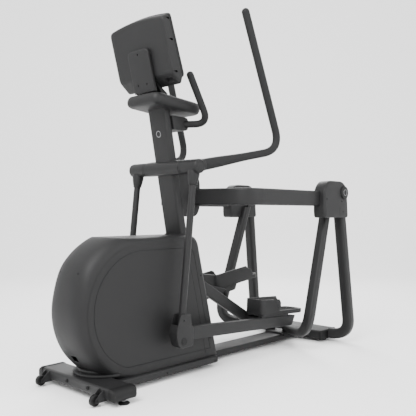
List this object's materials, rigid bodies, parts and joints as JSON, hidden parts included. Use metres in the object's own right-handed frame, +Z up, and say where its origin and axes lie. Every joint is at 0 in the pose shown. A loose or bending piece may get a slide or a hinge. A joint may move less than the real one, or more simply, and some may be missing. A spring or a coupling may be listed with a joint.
{
  "type": "elliptical trainer",
  "caption": "Front-drive elliptical trainer: round drive housing, leaning mast with console and tray, swinging handlebars and pedal arms, hoop frame on A-shaped legs.",
  "frame": {"origin": "centre of the overall box, on the floor", "axes": "+Z up, +X towards the end where the user steps on, -Y on the user's left as they face the console"},
  "size_m": [1.82, 0.79, 1.7988],
  "materials": {
    "frame_paint": "charcoal powder coat, fine satin grain",
    "shell_plastic": "charcoal moulded plastic, fine spark-eroded grain",
    "bezel_plastic": "near-black moulded plastic, matte",
    "screen": "smoked display window, glossy",
    "grip_rubber": "charcoal closed-cell grip, matte",
    "tread_rubber": "ribbed dark foot mat, matte",
    "foot_rubber": "black rubber, matte",
    "belt_rubber": "black ribbed belt",
    "steel": "turned and zinc-plated steel",
    "iron": "machined cast iron, grey"
  },
  "bodies": {
    "root": {"base_rail": "frame_paint", "front_stabilizer": "frame_paint", "rear_cross_foot": "frame_paint", "front_foot_left": "foot_rubber", "front_foot_right": "foot_rubber", "rear_foot_left": "foot_rubber", "rear_foot_right": "foot_rubber", "mast": "frame_paint", "crossbar": "frame_paint", "swing_axle": "steel", "hoop_clamp": "frame_paint", "console_back": "shell_plastic", "console_front": "bezel_plastic", "display": "screen", "console_bracket": "shell_plastic", "tray": "shell_plastic", "pulse_block": "shell_plastic", "pulse_handle_left": "grip_rubber", "pulse_handle_right": "grip_rubber", "hoop_bow": "frame_paint", "hoop_rail_left": "frame_paint", "hoop_rail_right": "frame_paint", "front_leg_left": "frame_paint", "front_leg_right": "frame_paint", "rear_leg_left": "frame_paint", "rear_leg_right": "frame_paint", "rear_housing_left": "shell_plastic", "rear_housing_right": "shell_plastic", "shroud_rear_cover": "shell_plastic", "shroud_front_cover": "shell_plastic", "shroud_side_left": "shell_plastic", "shroud_side_right": "shell_plastic", "shroud_base": "shell_plastic", "power_inlet": "bezel_plastic", "drive_belt": "belt_rubber", "drive_frame": "frame_paint", "brake_magnets": "iron"},
    "left_swing": {"swing_hub_left": "frame_paint", "swing_tube_left": "frame_paint", "handlebar_left": "grip_rubber"},
    "left_bush": {"pedal_pivot_left": "steel"},
    "left_arm": {"pedal_beam_left": "frame_paint", "pedal_boot_left": "shell_plastic", "pedal_left": "shell_plastic", "pedal_tread_left": "tread_rubber"},
    "left_lever": {"lever_left": "frame_paint"},
    "left_wheel": {"transport_wheel_left": "foot_rubber"},
    "right_swing": {"swing_hub_right": "frame_paint", "swing_tube_right": "frame_paint", "handlebar_right": "grip_rubber"},
    "right_bush": {"pedal_pivot_right": "steel"},
    "right_arm": {"pedal_beam_right": "frame_paint", "pedal_boot_right": "shell_plastic", "pedal_right": "shell_plastic", "pedal_tread_right": "tread_rubber"},
    "right_lever": {"lever_right": "frame_paint"},
    "right_wheel": {"transport_wheel_right": "foot_rubber"},
    "crank": {"crankset": "steel", "drive_pulley": "bezel_plastic"},
    "flywheel": {"flywheel": "iron"}
  },
  "joints": [
    {"name": "left_swing", "type": "hinge", "parent": "root", "child": "left_swing", "pos_m": [-0.317, 0, 1.004], "axis": [0, 1, 0], "range_deg": [-15, 15]},
    {"name": "right_swing", "type": "hinge", "parent": "root", "child": "right_swing", "pos_m": [-0.317, 0, 1.004], "axis": [0, 1, 0], "range_deg": [-15, 15]},
    {"name": "left_level", "type": "hinge", "parent": "left_swing", "child": "left_bush", "pos_m": [-0.409, -0.205, 0.19], "axis": [0, 1, 0], "range_deg": [-15, 15]},
    {"name": "left_lift", "type": "hinge", "parent": "left_bush", "child": "left_arm", "pos_m": [-0.409, -0.205, 0.19], "axis": [0, -1, 0], "range_deg": [0, 11]},
    {"name": "left_lever_tilt", "type": "hinge", "parent": "left_arm", "child": "left_lever", "pos_m": [0.2238, -0.078, 0.1994], "axis": [0, -1, 0], "range_deg": [0, 5.5]},
    {"name": "right_level", "type": "hinge", "parent": "right_swing", "child": "right_bush", "pos_m": [-0.409, 0.205, 0.19], "axis": [0, 1, 0], "range_deg": [-15, 15]},
    {"name": "right_lift", "type": "hinge", "parent": "right_bush", "child": "right_arm", "pos_m": [-0.409, 0.205, 0.19], "axis": [0, -1, 0], "range_deg": [-11, 0]},
    {"name": "right_lever_tilt", "type": "hinge", "parent": "right_arm", "child": "right_lever", "pos_m": [0.2103, 0.078, 0.32], "axis": [0, -1, 0], "range_deg": [-5.5, 0]},
    {"name": "crank_spin", "type": "hinge", "parent": "root", "child": "crank", "pos_m": [-0.4393, 0, 0.5215], "axis": [0, 1, 0], "continuous": true},
    {"name": "flywheel_spin", "type": "hinge", "parent": "root", "child": "flywheel", "pos_m": [-0.623, 0, 0.312], "axis": [0, 1, 0], "continuous": true},
    {"name": "left_wheel_spin", "type": "hinge", "parent": "root", "child": "left_wheel", "pos_m": [-0.887, -0.205, 0.027], "axis": [0, 1, 0], "continuous": true},
    {"name": "right_wheel_spin", "type": "hinge", "parent": "root", "child": "right_wheel", "pos_m": [-0.887, 0.205, 0.027], "axis": [0, 1, 0], "continuous": true}
  ],
  "couplings": [
    {"joint": "right_swing", "follows": "left_swing", "ratio": -1},
    {"joint": "left_level", "follows": "left_swing", "ratio": -1},
    {"joint": "right_level", "follows": "left_swing", "ratio": 1},
    {"joint": "right_lift", "follows": "left_lift", "ratio": -1},
    {"joint": "left_lever_tilt", "follows": "left_lift", "ratio": 0.5},
    {"joint": "right_lever_tilt", "follows": "left_lift", "ratio": -0.5},
    {"joint": "flywheel_spin", "follows": "crank_spin", "ratio": 4.5}
  ]
}
